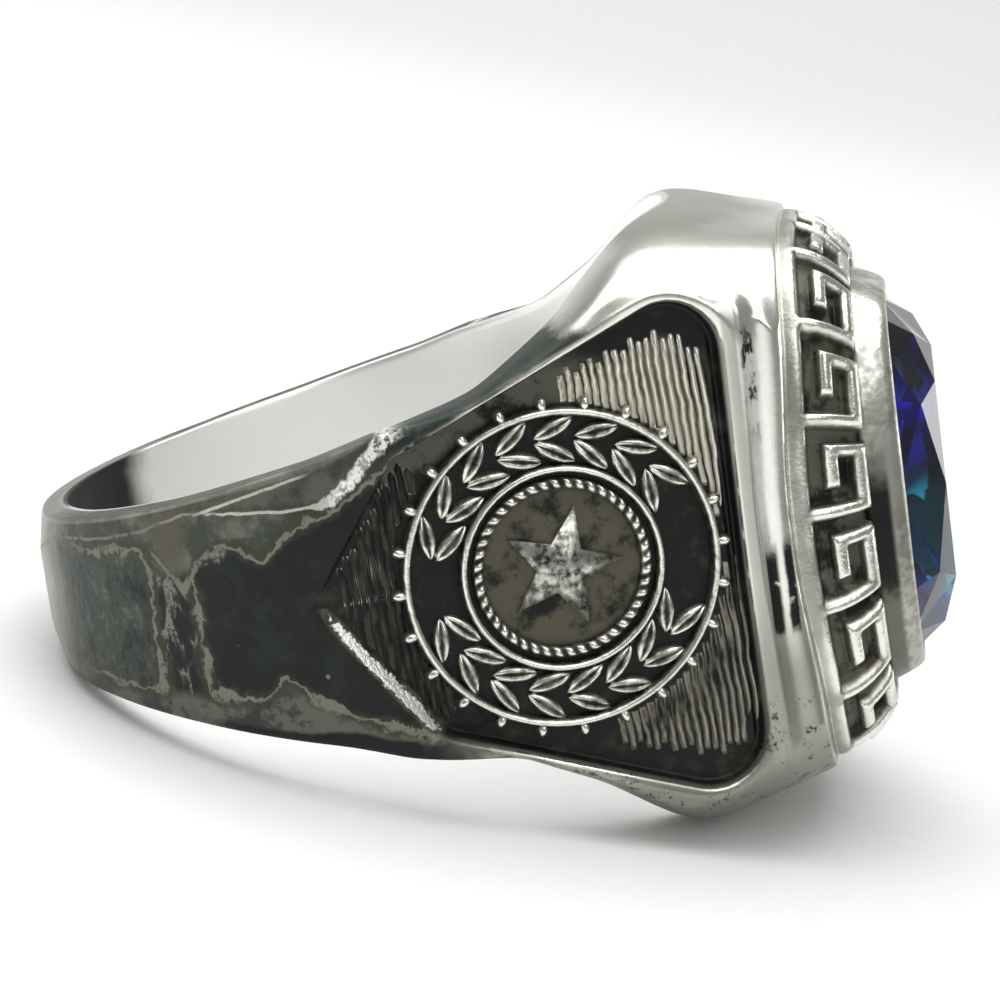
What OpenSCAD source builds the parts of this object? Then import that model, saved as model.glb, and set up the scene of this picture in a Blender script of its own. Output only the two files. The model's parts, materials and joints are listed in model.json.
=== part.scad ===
// Man's service anniversary ring, lying on its side: one cast band with shoulders, head, bezel
// and collar, and one faceted stone. In the ring's own axes x points from the back of the shank
// to the stone, y across the finger and z along it. The last step tips these axes so that the
// ring rests on the lower edges of its head and of its shank.

/* [Finger] */
// Radius of the finger hole
bore_r = 10.3; // [9.8:0.05:10.35]

/* [Shank] */
// Outer radius of the shank at the back
back_r = 11.4; // [11.3:0.05:11.8]
// Half width of the shank at the back, along the finger
back_half = 2.35; // [2:0.05:2.8]
// Outer radius of the shank where the shoulders begin
shoulder_r = 11.9; // [11.8:0.05:12.1]
// Height of the bevel along each edge of the shank
bevel_drop = 1.35; // [0.8:0.05:1.5]
// Depth of that bevel
bevel_in = 0.24; // [0.1:0.02:0.4]

/* [Head] */
// Distance from the finger axis to the front of the head, where the bezel starts
head_x = 13.65; // [13.3:0.05:13.9]
// Largest half height of the head, along the finger
head_half = 9.7; // [9.5:0.05:9.9]
// Slant of each flank towards the stone
flank_slant = 20; // [19:0.5:21]

/* [Side panels] */
// Radius of the medallion
medallion_r = 4.95; // [4.6:0.05:5]
// Height of the medallion's work over the panel's floor
relief = 0.4; // [0.3:0.05:0.5]
// Spacing of the upright ribs on the panel's floor
rib_step = 0.38; // [0.36:0.02:1]
// Height of the ribs
rib_rise = 0.14; // [0.08:0.02:0.2]

/* [Bezel] */
// Half width of the bezel at its foot, across the finger
foot_y = 7.35; // [7.1:0.05:7.4]
// Half height of the bezel at its foot, along the finger
foot_z = 8.8; // [8.6:0.05:8.85]
// Rise of the bezel's domed slope
slope_rise = 2.8; // [2.6:0.1:3]
// Number of key units round the slope
key_count = 18; // [14:1:20]
// Height of the key over its channel
key_rise = 0.45; // [0.3:0.05:0.5]
// Height of the collar over the end of the slope
collar_rise = 0.65; // [0.5:0.05:0.8]

/* [Stone] */
// Half width of the stone's table, across the finger
table_y = 3.1; // [2.9:0.05:3.3]
// Half height of the stone's table, along the finger
table_z = 3.9; // [3.6:0.05:4.2]
// Height of the table over the collar
crown = 1.25; // [1.1:0.05:1.5]
// Gap between the stone and its seat
stone_gap = 0.05; // [0.04:0.01:0.08]

/* [Hidden] */

// Side outline of the casting: distance along x, half height along z
PROFILE = [[-14, 2.35], [-11.4, 2.35], [-8, 2.8], [-4.4, 3.42], [0, 4.35], [2.5, 5.05], [5, 6.15], [7.2, 7.6],
           [8.4, 8.75], [9.2, 9.4], [9.9, 9.68], [10.6, 9.7], [11.6, 9.52], [13.65, 8.95], [18, 8]];

// The back end of the outline follows back_half, and its front end follows head_half
drawn_back = PROFILE[0][1];
drawn_head = max([for (row = PROFILE) row[1]]);
widening = [-4.4, 9.6];
function side_half(x) =
    let (front = min(1, max(0, (x - widening[0]) / (widening[1] - widening[0]))))
    lookup(x, PROFILE) + (1 - front) * (back_half - drawn_back) + front * (head_half - drawn_head);

// Plan outline, by the angle a round the finger from the back of the shank: the shank, then a flank
// that leaves it at a tangent, then the straight front
tangent_a = 90 + flank_slant;
corner_y = shoulder_r / cos(flank_slant) - head_x * tan(flank_slant);
corner_a = 180 - atan2(corner_y, head_x);
// One flat eases the upright corner between a flank and the front
corner_cut = 0.35;
ease_a = corner_a - 6;
ease_r = norm([head_x, corner_y]) - corner_cut;

function shank_r(a) = back_r + (shoulder_r - back_r) * pow(min(a, tangent_a) / tangent_a, 1.5);
function ease_line(a) = ease_r * cos(corner_a - ease_a) / cos(a - ease_a);
function head_r(a) = min(ease_line(a), a < corner_a ? shoulder_r / cos(a - tangent_a) : -head_x / cos(a));
function outer_r(a) = a < tangent_a ? shank_r(a) : head_r(a);

// Top of the casting over the plan. The head's cross section follows a cushion outline: distance
// along x, half width of that outline
HEAD_WIDTH = [[2, 17], [6, 14.6], [8.4, 12.6], [10.6, 11.3], [12.4, 9.9], [13.65, 8.4], [18, 8]];
squareness = 3.2;
// The shank's bevels fade out over this stretch of the angle a
bevel_end = 100;
bevel_fade = 16;
full_share = 0.98;
function sag_at(x, y) =
    let (share = min(full_share, y / lookup(x, HEAD_WIDTH)))
    side_half(x) * (1 - pow(1 - pow(share, squareness), 1 / squareness));
function bevel_at(inset) = bevel_drop * max(0, 1 - inset / bevel_in);
function top_z(a, r) =
    let (x = -r * cos(a), y = r * sin(a), k = min(1, max(0, (a - bevel_end) / bevel_fade)))
    side_half(x) - (1 - k) * bevel_at(outer_r(a) - r) - k * sag_at(x, y);

// Angles of the sections, close together where the flanks and the front meet
HALF_TURN = concat([for (i = [0 : 13]) i * 7.5], [for (i = [0 : 13]) 101 + i * 3.5],
                   [148, 150.5, 153.5, 157, 162, 168, 174]);
TURN = concat(HALF_TURN, [180], [for (i = [len(HALF_TURN) - 1 : -1 : 1]) 360 - HALF_TURN[i]]);
// Points of a section: depth under its outer edge, and the largest share of the wall it may take
STEPS = [[0, 0], [0.12, 0.12], [0.24, 0.3], [0.7, 0.42], [1.3, 0.54], [2, 0.66], [2.9, 0.78], [4.2, 0.9]];
// The skin starts this far inside the finger hole, which is bored afterwards
skin_in = 0.5;

function section(a) =
    let (ro = outer_r(a), wall = ro - bore_r, skin_r = bore_r - skin_in)
    concat([for (step = STEPS) let (r = ro - min(step[0], wall * step[1])) [r, top_z(a, r)]],
           [[skin_r, top_z(a, skin_r)]]);
function section_ring(a) =
    let (s = section(a <= 180 ? a : 360 - a), n = len(s))
    [for (k = [0 : 2 * n - 1])
        let (p = k < n ? s[k] : s[2 * n - 1 - k])
        [-p[0] * cos(a), -p[0] * sin(a), k < n ? p[1] : -p[1]]];

// Faces between ring i and the ring after it, each ring holding count points
function band_faces(i, next, count) = [for (j = [0 : count - 1]) for (half = [0, 1])
    let (p = i * count + j, q = i * count + (j + 1) % count,
         r = next * count + j, s = next * count + (j + 1) % count)
    half == 0 ? [p, q, s] : [p, s, r]];

module blank() {
    rings = [for (a = TURN) section_ring(a)];
    n = len(rings);
    count = len(rings[0]);
    polyhedron(points = [for (ring = rings) each ring],
               faces = [for (i = [0 : n - 1]) each band_faces(i, (i + 1) % n, count)]);
}

// Solid skin through rings, closed by a flat cap at each end
module skin(rings) {
    n = len(rings);
    count = len(rings[0]);
    polyhedron(points = [for (ring = rings) each ring],
               faces = concat([[for (j = [count - 1 : -1 : 0]) j]],
                              [for (i = [0 : n - 2]) each band_faces(i, i + 1, count)],
                              [[for (j = [0 : count - 1]) (n - 1) * count + j]]));
}

// Bezel: the slope turns through this angle from its foot to the collar
slope_turn = 50;
collar_y = 5.4;
collar_z = 6.68;
lip_x = head_x + slope_rise + collar_rise;

// Levels of the stone along x, and the half sizes of the seat round its girdle
girdle_x = lip_x - 0.35;
culet_x = head_x + 0.75;
pavilion_x = (girdle_x + culet_x) / 2 + 0.1;
seat_y = 4.75;
seat_z = 5.7;

// Point of the cushion outline with the given half sizes, at the angle t from y towards -z
function cushion(x, half_y, half_z, t) =
    let (c = cos(t), s = sin(t), e = 2 / squareness)
    [x, half_y * sign(c) * pow(abs(c), e), -half_z * sign(s) * pow(abs(s), e)];

// One unit of the key, a row for each of its columns: start and end round the bezel in sixths of
// the unit, then five cells from the foot to the collar, where 1 is raised
KEY = [[0, 1, [1, 1, 1, 1, 1]],
       [1, 2, [1, 0, 0, 0, 1]],
       [2, 4, [1, 0, 1, 0, 1]],
       [4, 5, [1, 0, 1, 1, 1]],
       [5, 6, [1, 0, 0, 0, 0]]];
key_sixths = 6;
key_high = 5;
// Part of a cell that each of its side walls takes
wall_share = 0.06;

// Length along the outline's first quarter against the angle t, to space the key evenly
outline_y = (foot_y + collar_y) / 2;
outline_z = (foot_z + collar_z) / 2;
function outline_point(i) = cushion(0, outline_y, outline_z, 2 * i);
QUARTER = [for (i = 0, s = 0; i <= 45; s = s + norm(outline_point(i + 1) - outline_point(i)), i = i + 1)
    [s, 2 * i]];
quarter_long = QUARTER[45][0];
function even_t(share) =
    let (s = share * 4, n = floor(s), part = (s - n) * quarter_long)
    90 * n + (n % 2 == 0 ? lookup(part, QUARTER) : 90 - lookup(quarter_long - part, QUARTER));

// Point of the slope at the share v of its length, sunk by depth square to it
function slope_point(v, t, depth) =
    let (turn = slope_turn * v, rest = (1 - cos(turn)) / (1 - cos(slope_turn)))
    cushion(head_x + slope_rise * sin(turn) / sin(slope_turn) - depth * sin(turn),
            foot_y - (foot_y - collar_y) * rest - depth * cos(turn),
            foot_z - (foot_z - collar_z) * rest - depth * cos(turn), t);
// The key takes this stretch of the slope, and a groove follows it outside the collar's wall
key_from = 0.04;
key_to = 0.86;
groove_at = 0.88;
function row_v(row, side) =
    key_from + (key_to - key_from) * (row + (side == 0 ? wall_share : 1 - wall_share)) / key_high;

// The key's columns in order, each as its start, its end and its cells
COLUMNS = [for (unit = [0 : key_count - 1]) for (column = KEY)
    let (wall = wall_share / key_sixths)
    [(unit + column[0] / key_sixths + wall) / key_count, (unit + column[1] / key_sixths - wall) / key_count,
     column[2]]];
function key_ring(row, side) = [for (column = COLUMNS) for (edge = [0, 1])
    slope_point(row_v(row, side), even_t(column[edge]), key_rise * (1 - column[2][row]))];
ring_points = 72;
function plain_ring(x, half_y, half_z) =
    [for (i = [0 : ring_points - 1]) cushion(x, half_y, half_z, even_t(i / ring_points))];

// Solid with the domed slope and its key. Its root reaches into the head.
root_deep = 0.4;
root_in = 0.3;
module keyed_slope() {
    foot = [for (column = COLUMNS) for (edge = [0, 1])
        cushion(head_x - root_deep, foot_y - root_in, foot_z - root_in, even_t(column[edge]))];
    groove = [for (column = COLUMNS) for (edge = [0, 1])
        slope_point(groove_at, even_t(column[edge]), key_rise)];
    skin(concat([foot], [for (row = [0 : key_high - 1]) for (side = [0, 1]) key_ring(row, side)], [groove]));
}

// Wall of the collar: drop under the lip, inset from the collar's outline
COLLAR_WALL = [[slope_rise + collar_rise - 0.2, 0.04], [0.22, 0.04], [0.06, 0.14], [0, 0.32]];
module collar() {
    skin([for (row = COLLAR_WALL) plain_ring(lip_x - row[0], collar_y - row[1], collar_z - row[1])]);
}

// Wall of the hollow that takes the stone: distance along x, share of the girdle's outline
SEAT_WALL = [[culet_x - 0.1, 0.12], [pavilion_x - 0.1, 0.68], [girdle_x - 0.2, 1], [lip_x + 0.1, 1]];
module seat() {
    skin([for (row = SEAT_WALL) plain_ring(row[0], seat_y * row[1], seat_z * row[1])]);
}

// Side panels: the floor starts at this point of the plan and slants by floor_slant
floor_start = [-0.5, -11.75];
floor_slant = 18;
panel_end = 13.15;
panel_corner = [2.95, 4.15];
panel_rise = 21.8;
panel_round = 1.6;
medallion_at = 7.65;
// Share of the inset that moves the shield's side corner along and across the panel
corner_in = [0.55, -0.75];
// Solid depth that the panel and the finger hole are cut through
panel_cut = 4;
bore_cut = 30;

module on_floor() {
    translate([floor_start[0], floor_start[1], 0]) rotate([0, 0, floor_slant]) rotate([90, 0, 0]) children();
}

// Outline of the sunk shield, drawn in by inset: a point at the back, two slanting sides, a round
// corner at each end of the straight front
module shield(inset) {
    centre_x = panel_end - panel_round;
    edge_y = panel_corner[1] + tan(panel_rise) * (centre_x - panel_corner[0]);
    centre_y = edge_y - panel_round / cos(panel_rise);
    back_turn = atan2(panel_corner[1], panel_corner[0]);
    side = panel_corner + inset * corner_in;
    half = concat([side], [for (a = [90 + panel_rise : -(90 + panel_rise) / 8 : -0.01])
                   [centre_x, centre_y] + (panel_round - inset) * [cos(a), sin(a)]]);
    polygon(concat([[inset / sin(back_turn), 0]], half,
                   [for (i = [len(half) - 1 : -1 : 0]) [half[i][0], -half[i][1]]]));
}

module leaf(long, wide) {
    r = (long * long + wide * wide) / (4 * wide);
    intersection() {
        translate([0, r - wide / 2]) circle(r, $fn = 24);
        translate([0, wide / 2 - r]) circle(r, $fn = 24);
    }
}

// Two laurel branches rise from the foot of the medallion, with leaves in pairs
leaf_pairs = 8;
leaf_size = [1.25, 0.44];
leaf_start = 22;
leaf_turn = 18;
leaf_lean = 24;
branch_r = 3.78;
branch_spread = 0.36;
module branches() {
    for (side = [-1, 1]) for (i = [0 : leaf_pairs - 1]) for (row = [-1, 1])
        rotate(180 + side * (leaf_start + i * leaf_turn))
            translate([branch_r + row * branch_spread, 0])
                rotate(side * (90 - row * leaf_lean)) leaf(leaf_size[0], leaf_size[1]);
}

module star(outer, inner) {
    polygon([for (i = [0 : 9]) let (r = i % 2 == 0 ? outer : inner) r * [cos(36 * i), sin(36 * i)]]);
}

module hoop(outer, wide) {
    difference() {
        circle(outer, $fn = 60);
        circle(outer - wide, $fn = 60);
    }
}

rib_margin = 0.18;
module ribs() {
    intersection() {
        difference() {
            shield(rib_margin);
            translate([medallion_at, 0]) circle(medallion_r + 0.1, $fn = 60);
        }
        for (s = [rib_step : rib_step : panel_end])
            translate([s, 0]) square([rib_step / 2, 2 * head_half], center = true);
    }
}

// Raised work starts this far under the floor that carries it
sink = 0.06;
rim_wide = 0.34;
disc_r = 2.9;
disc_wide = 0.4;
star_r = [1.75, 0.7];
module panel_work() {
    on_floor() {
        translate([0, 0, -sink]) linear_extrude(rib_rise + sink) ribs();
        translate([medallion_at, 0, -sink]) {
            linear_extrude(relief + sink) hoop(medallion_r, rim_wide);
            linear_extrude(relief * 0.7 + sink) branches();
            linear_extrude(relief + sink) hoop(disc_r, disc_wide);
            linear_extrude(relief * 0.8 + sink) star(star_r[0], star_r[1]);
        }
    }
}

module both_sides() {
    children();
    mirror([0, 1, 0]) children();
}

module casting() {
    difference() {
        union() {
            blank();
            keyed_slope();
            collar();
        }
        seat();
        both_sides() on_floor() linear_extrude(panel_cut) shield(0);
        translate([0, 0, -bore_cut / 2]) cylinder(h = bore_cut, r = bore_r, $fn = 180);
    }
    both_sides() panel_work();
}

// Stone: cushion outline with a table, eight stars, eight mains and two rows of girdle facets
table_x = lip_x + crown;
girdle_y = seat_y - stone_gap;
girdle_z = seat_z - stone_gap;
girdle_thick = 0.22;
main_x = table_x - 0.5;
main_bulge = 0.12;
keel_share = 0.58;
function round_points(x, half_y, half_z, count, first) =
    [for (i = [0 : count - 1]) cushion(x, half_y, half_z, 360 * (i + first) / count)];

module cut_stone() {
    eight = [0 : 7];
    sixteen = [0 : 15];
    main_y = (table_y + girdle_y) / 2 + main_bulge;
    main_z = (table_z + girdle_z) / 2 + main_bulge;
    // Rows of points: table, mains, girdle top, girdle foot, pavilion, culet
    points = concat(round_points(table_x, table_y, table_z, 8, 0),
                    round_points(main_x, main_y, main_z, 8, 0.5),
                    round_points(girdle_x + girdle_thick / 2, girdle_y, girdle_z, 16, 0),
                    round_points(girdle_x - girdle_thick / 2, girdle_y, girdle_z, 16, 0),
                    round_points(pavilion_x, girdle_y * keel_share, girdle_z * keel_share, 8, 0.5),
                    [[culet_x + 0.1, 0, 0]]);
    main = 8;
    upper = 16;
    lower = 32;
    keel = 48;
    tip = 56;
    faces = concat(
        [[for (i = eight) i]],
        [for (i = eight) [(i + 1) % 8, i, main + i]],
        [for (i = eight) for (half = [0, 1])
            half == 0 ? [i, main + (i + 7) % 8, upper + 2 * i] : [i, upper + 2 * i, main + i]],
        [for (i = eight) for (half = [0, 1])
            half == 0 ? [main + i, upper + 2 * i, upper + 2 * i + 1]
                      : [main + i, upper + 2 * i + 1, upper + (2 * i + 2) % 16]],
        [for (i = sixteen) for (half = [0, 1])
            half == 0 ? [upper + i, lower + i, lower + (i + 1) % 16]
                      : [upper + i, lower + (i + 1) % 16, upper + (i + 1) % 16]],
        [for (i = eight) for (half = [0, 1])
            half == 0 ? [keel + i, lower + 2 * i + 1, lower + 2 * i]
                      : [keel + i, lower + (2 * i + 2) % 16, lower + 2 * i + 1]],
        [for (i = eight) for (half = [0, 1])
            half == 0 ? [tip, keel + i, lower + 2 * i] : [tip, lower + 2 * i, keel + (i + 7) % 8]]);
    polyhedron(points = points, faces = faces);
}

// Rest pose: the lower edges that can meet the ground, as distance along x and half height
REST = [for (a = TURN) if (a <= 180) for (p = section(a)) if (p[0] > bore_r) [-p[0] * cos(a), p[1]]];
heel = [-(back_r - bevel_in), side_half(-(back_r - bevel_in))];
tilt = max([for (p = REST) if (p[0] > 0) atan2(p[1] - heel[1], p[0] - heel[0])]);
lift = max([for (p = REST) p[1] * cos(tilt) - p[0] * sin(tilt)]);
front_reach = table_x * cos(tilt) + table_z * sin(tilt);
back_reach = -heel[0] * cos(tilt) + heel[1] * sin(tilt);

module at_rest() {
    translate([(back_reach - front_reach) / 2, 0, lift]) rotate([0, -tilt, 0]) children();
}

module band() {
    color([0.62, 0.62, 0.58]) at_rest() casting();
}

module stone() {
    color([0.1, 0.16, 0.5]) at_rest() cut_stone();
}

band();
stone();
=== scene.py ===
import json
import math

import bmesh
import bpy
import numpy as np
from mathutils import Matrix, Vector


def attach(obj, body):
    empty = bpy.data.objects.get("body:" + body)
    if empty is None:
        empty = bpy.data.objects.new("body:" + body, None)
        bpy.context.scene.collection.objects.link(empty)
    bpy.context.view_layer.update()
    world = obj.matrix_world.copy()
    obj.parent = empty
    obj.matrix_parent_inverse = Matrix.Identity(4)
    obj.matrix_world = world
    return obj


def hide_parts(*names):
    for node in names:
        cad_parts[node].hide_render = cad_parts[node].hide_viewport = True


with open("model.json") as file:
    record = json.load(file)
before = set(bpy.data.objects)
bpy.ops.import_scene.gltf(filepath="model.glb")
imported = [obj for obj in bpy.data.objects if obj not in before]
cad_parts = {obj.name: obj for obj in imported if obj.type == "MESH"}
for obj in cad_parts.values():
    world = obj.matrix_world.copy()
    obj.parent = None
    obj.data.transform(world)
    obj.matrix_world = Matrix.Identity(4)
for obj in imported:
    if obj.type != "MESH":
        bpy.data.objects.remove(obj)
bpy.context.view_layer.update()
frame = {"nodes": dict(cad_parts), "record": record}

# The band is one silver casting: the shank round the finger, the shoulders and the head, which
# carries the bezel. It came out of one mould with a sunk shield on each flank, and its edges were
# then filed and polished.

# The sizes below are in millimetres
MM = 0.001
finger_hole = frame["record"]["mounts"][0]
finger_axis = finger_hole["axis"]
ring_middle = np.array(finger_hole["pos_m"])
bore_r = finger_hole["dims"]["r_mm"]

# From the ring's own axes, with x towards the stone and z along the finger, to how it lies
LYING = np.array([[finger_axis[2], 0, finger_axis[0]],
                  [0, 1, 0],
                  [-finger_axis[0], 0, finger_axis[2]]])

# Outer radius at the back and where the shoulders begin, and distance from the axis to the head's front
back_r, shoulder_r, head_x = 11.4, 11.9, 13.65
# Slant of each flank towards the stone, and the angle round the finger at which it leaves the shank
flank_slant = math.radians(20)
tangent_a = math.pi / 2 + flank_slant
# Rounding of the upright corner between a flank and the front
corner_round = 0.3

# Distance along x, half height of the side outline
SIDE = np.array([[-14, 2.35], [-11.4, 2.35], [-8, 2.8], [-4.4, 3.42], [0, 4.35], [2.5, 5.05], [5, 6.15],
                 [7.2, 7.6], [8.4, 8.75], [9.2, 9.38], [9.9, 9.62], [10.6, 9.62], [11.6, 9.4], [13.65, 8.77],
                 [18, 7.9]])
side_round = 0.4
# Distance along x, half width of the cushion outline that the head's cross section follows
HEAD_WIDTH = np.array([[2, 17], [6, 14.6], [8.4, 12.6], [10.6, 11.3], [12.4, 9.9], [13.65, 8.4], [18, 8]])
width_round = 0.6
squareness = 3.2
# Degrees round the finger, depth of the bevel that was filed along the shank's edges
BEVEL = np.array([[0, 1.35], [18, 1.3], [30, 0.75], [40, 0.5], [52, 0.62], [61, 0.56], [69, 0.34], [73, 0.5],
                  [80, 0.83], [87, 1.18], [91, 1.3], [94, 1.2], [97.5, 0.72], [101, 0.22], [104, 0.06]])
bevel_slant = 0.19
# The shank's section turns into the head's between these angles
head_from, head_to = math.radians(98), math.radians(118)
# Depth of the bow of the head's front, and the heights between which it grows
front_bow_deep, front_bow_span = 0.36, (0.5, 6.5)
# How far wear has rounded the sharp edges, and the edge along the top and bottom of the head
edge_wear, head_wear = 0.085, 0.42


def rounded_line(x, table, reach):
    """A table's straight stretches, read with their corners rounded over reach."""
    return np.mean([np.interp(x + k * reach, *table.T) for k in np.linspace(-1, 1, 9)], axis=0)


def smooth(low, high, value):
    """Share that rises from 0 at low to 1 at high."""
    share = np.clip((value - low) / (high - low), 0, 1)
    return share * share * (3 - 2 * share)


def rounded_corner(a, b, radius):
    """Distance outside two walls whose meeting corner is rounded."""
    past = np.hypot(np.maximum(a + radius, 0), np.maximum(b + radius, 0))
    return np.minimum(np.maximum(a, b), -radius) + past


def outer_r(angle):
    """Radius of the plan outline at an angle round the finger, from the back of the shank."""
    shank = back_r + (shoulder_r - back_r) * (np.minimum(angle, tangent_a) / tangent_a) ** 1.5
    low, high = np.full_like(angle, back_r - 1), np.full_like(angle, 2 * head_x)
    for _ in range(40):
        r = (low + high) / 2
        past_flank = r * np.cos(angle - tangent_a) - shoulder_r
        outside = rounded_corner(past_flank, -r * np.cos(angle) - head_x, corner_round) > 0
        low, high = np.where(outside, low, r), np.where(outside, r, high)
    return np.where(angle < tangent_a, shank, low)


def top_z(angle, r):
    """Height of the casting's top over the plan, without the bevel along the shank's edge."""
    x, y = -r * np.cos(angle), r * np.sin(angle)
    half = rounded_line(x, SIDE, side_round)
    share = np.clip(y / rounded_line(x, HEAD_WIDTH, width_round), 0, 0.98)
    sag = half * (1 - (1 - share ** squareness) ** (1 / squareness))
    return half - head_share(angle) * sag


def head_share(angle):
    """Share that the head's section has at this angle, against the shank's."""
    return smooth(head_from, head_to, angle)


# Middle of the medallion along x
medallion_x = 6.8
# The sunk shield: its floor starts at this point of the plan and slants into the flank
floor_start, floor_slant = (-0.5, 11.75), math.radians(18)
# Length of the shield, its side corner along and across, the slope of its long sides, and its round corners
panel_end, panel_corner, panel_rise, panel_round = 13.15, (2.95, 4.15), math.tan(math.radians(21.8)), 1.6
# Wall of the shield: how far it slopes in, and further at the lower left, where it is rubbed
wall_slope, rubbed_slope = 0.12, 0.45


def shield_outline():
    """Outline of half the shield on the floor: tip, side corner, rounded corner, middle of the end."""
    centre_x = panel_end - panel_round
    edge_y = panel_corner[1] + panel_rise * (centre_x - panel_corner[0])
    centre_y = edge_y - panel_round * math.hypot(1, panel_rise)
    turns = np.linspace(math.pi / 2 + math.atan(panel_rise), 0, 9)
    arc = np.column_stack([centre_x + panel_round * np.cos(turns), centre_y + panel_round * np.sin(turns)])
    return np.vstack([[[0, 0], panel_corner], arc, [[panel_end, 0]]])


SHIELD = shield_outline()


def shield_distance(along, height):
    """Distance outside the shield's outline, below zero within it."""
    points = np.column_stack([along, np.abs(height)])
    near = np.full(len(points), 1e9)
    for start, end in zip(SHIELD[:-1], SHIELD[1:]):
        edge = end - start
        share = np.clip((points - start) @ edge / (edge @ edge), 0, 1)
        near = np.minimum(near, np.linalg.norm(points - start - share[:, None] * edge, axis=1))
    top = np.interp(points[:, 0], SHIELD[:, 0], SHIELD[:, 1])
    inside = (points[:, 0] > 0) & (points[:, 0] < panel_end) & (points[:, 1] < top)
    return np.where(inside, -near, near)


def shield_edge(along):
    """Half width of the shield at this place along it."""
    return np.interp(along, SHIELD[:-1, 0], SHIELD[:-1, 1])


def floor_place(x, y):
    """Place along the floor, and height over it, of points of the plan on the +y side."""
    dx, dy = x - floor_start[0], y - floor_start[1]
    return (dx * math.cos(floor_slant) - dy * math.sin(floor_slant),
            dx * math.sin(floor_slant) + dy * math.cos(floor_slant))


def plan_angles():
    """Angles of the casting's sections on the +y side, close together on the flank."""
    angle = np.linspace(0, math.pi, 20001)
    r = outer_r(angle)
    x, y = -r * np.cos(angle), r * np.sin(angle)
    along, _ = floor_place(x, y)
    # Place along the shield's floor, distance between sections
    spacing = np.interp(along, *np.transpose([(-4, 0.25), (-0.6, 0.2), (0, 0.13), (11, 0.13), (11.8, 0.09),
                                              (12.8, 0.05), (14.6, 0.05), (15.2, 0.1), (16, 0.3)]))
    spacing = np.where(x < -4, 0.25, spacing)
    steps = np.hypot(np.diff(x), np.diff(y)) / spacing[1:]
    count = np.concatenate([[0], np.cumsum(steps)])
    return np.interp(np.linspace(0, count[-1], math.ceil(count[-1]) + 1), count, angle)


fine_step = 0.03


def worn_line(line, wear):
    """A finely stepped line with its corners worn round, over about this distance in mm."""
    reach = math.ceil(wear * 100)
    kernel = np.exp(-0.5 * (np.arange(-reach, reach + 1) * fine_step / wear) ** 2)
    padded = np.pad(line, ((reach, reach), (0, 0)), mode="edge")
    return np.column_stack([np.convolve(padded[:, i], kernel / kernel.sum(), mode="valid") for i in (0, 1)])


def front_bow(z):
    """How far the head's front stands forward at this height, because it is bowed towards its ends."""
    return front_bow_deep * smooth(*front_bow_span, abs(z))


def section_rows(angle, r):
    """Half a section as rows of radius and height over outer wall, bevel, top and bore; the crease's height
    and the bevel's upper edge."""
    bevel = float(np.interp(math.degrees(angle), *BEVEL.T)) * (1 - head_share(angle))
    inset = bevel_slant * bevel + 0.02
    crease = float(top_z(angle, r)) - bevel
    across = np.linspace(r - inset, bore_r, 60)
    top = np.column_stack([across, top_z(np.full_like(across, angle), across)])
    path = np.vstack([[r, -1], [r, 0], [r, crease], top, [bore_r, 0], [bore_r, -1]])
    lengths = np.concatenate([[0], np.cumsum(np.linalg.norm(np.diff(path, axis=0), axis=1))])
    middle, corner, rim, bore_top, foot = lengths[[1, 2, 3, -3, -2]]
    fine = np.arange(0, lengths[-1], fine_step)
    line = np.column_stack([np.interp(fine, lengths, path[:, k]) for k in (0, 1)])
    # The head's outer edge is worn much rounder, over a stretch that the top's width allows
    roll = float(head_share(angle)) * smooth(head_x - 0.3, head_x - 1.5, -r * math.cos(angle))
    wide = bore_top - rim
    roll = (roll * smooth(min(2.6, 0.85 * wide), min(1.1, 0.3 * wide), abs(fine - corner)))[:, None]
    line = worn_line(line, edge_wear) * (1 - roll) + worn_line(line, head_wear) * roll
    # The rows stand close together at the shield's edge and at each edge of the top
    along, _ = floor_place(-r * math.cos(angle), r * math.sin(angle))
    edge = middle + min(max(float(shield_edge(along)), 0.7), crease - 0.6)
    stations = np.concatenate([np.linspace(middle, edge - 0.5, 9)[:-1],
                               np.linspace(edge - 0.5, edge + 0.5, 22)[:-1],
                               np.linspace(edge + 0.5, corner, 7)[:-1],
                               np.linspace(corner, rim, 8)[:-1],
                               rim + wide * (1 - np.cos(np.linspace(0, math.pi, 19)[:-1])) / 2,
                               bore_top + (foot - bore_top) * np.linspace(0, 1, 10) ** 1.8])
    rows = np.column_stack([np.interp(stations, fine, line[:, k]) for k in (0, 1)])
    return rows, crease, crease + bevel


def bump(value, middle, wide):
    """Rounded ridge of height 1 about the middle."""
    return np.exp(-((value - middle) / wide) ** 2)


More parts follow.
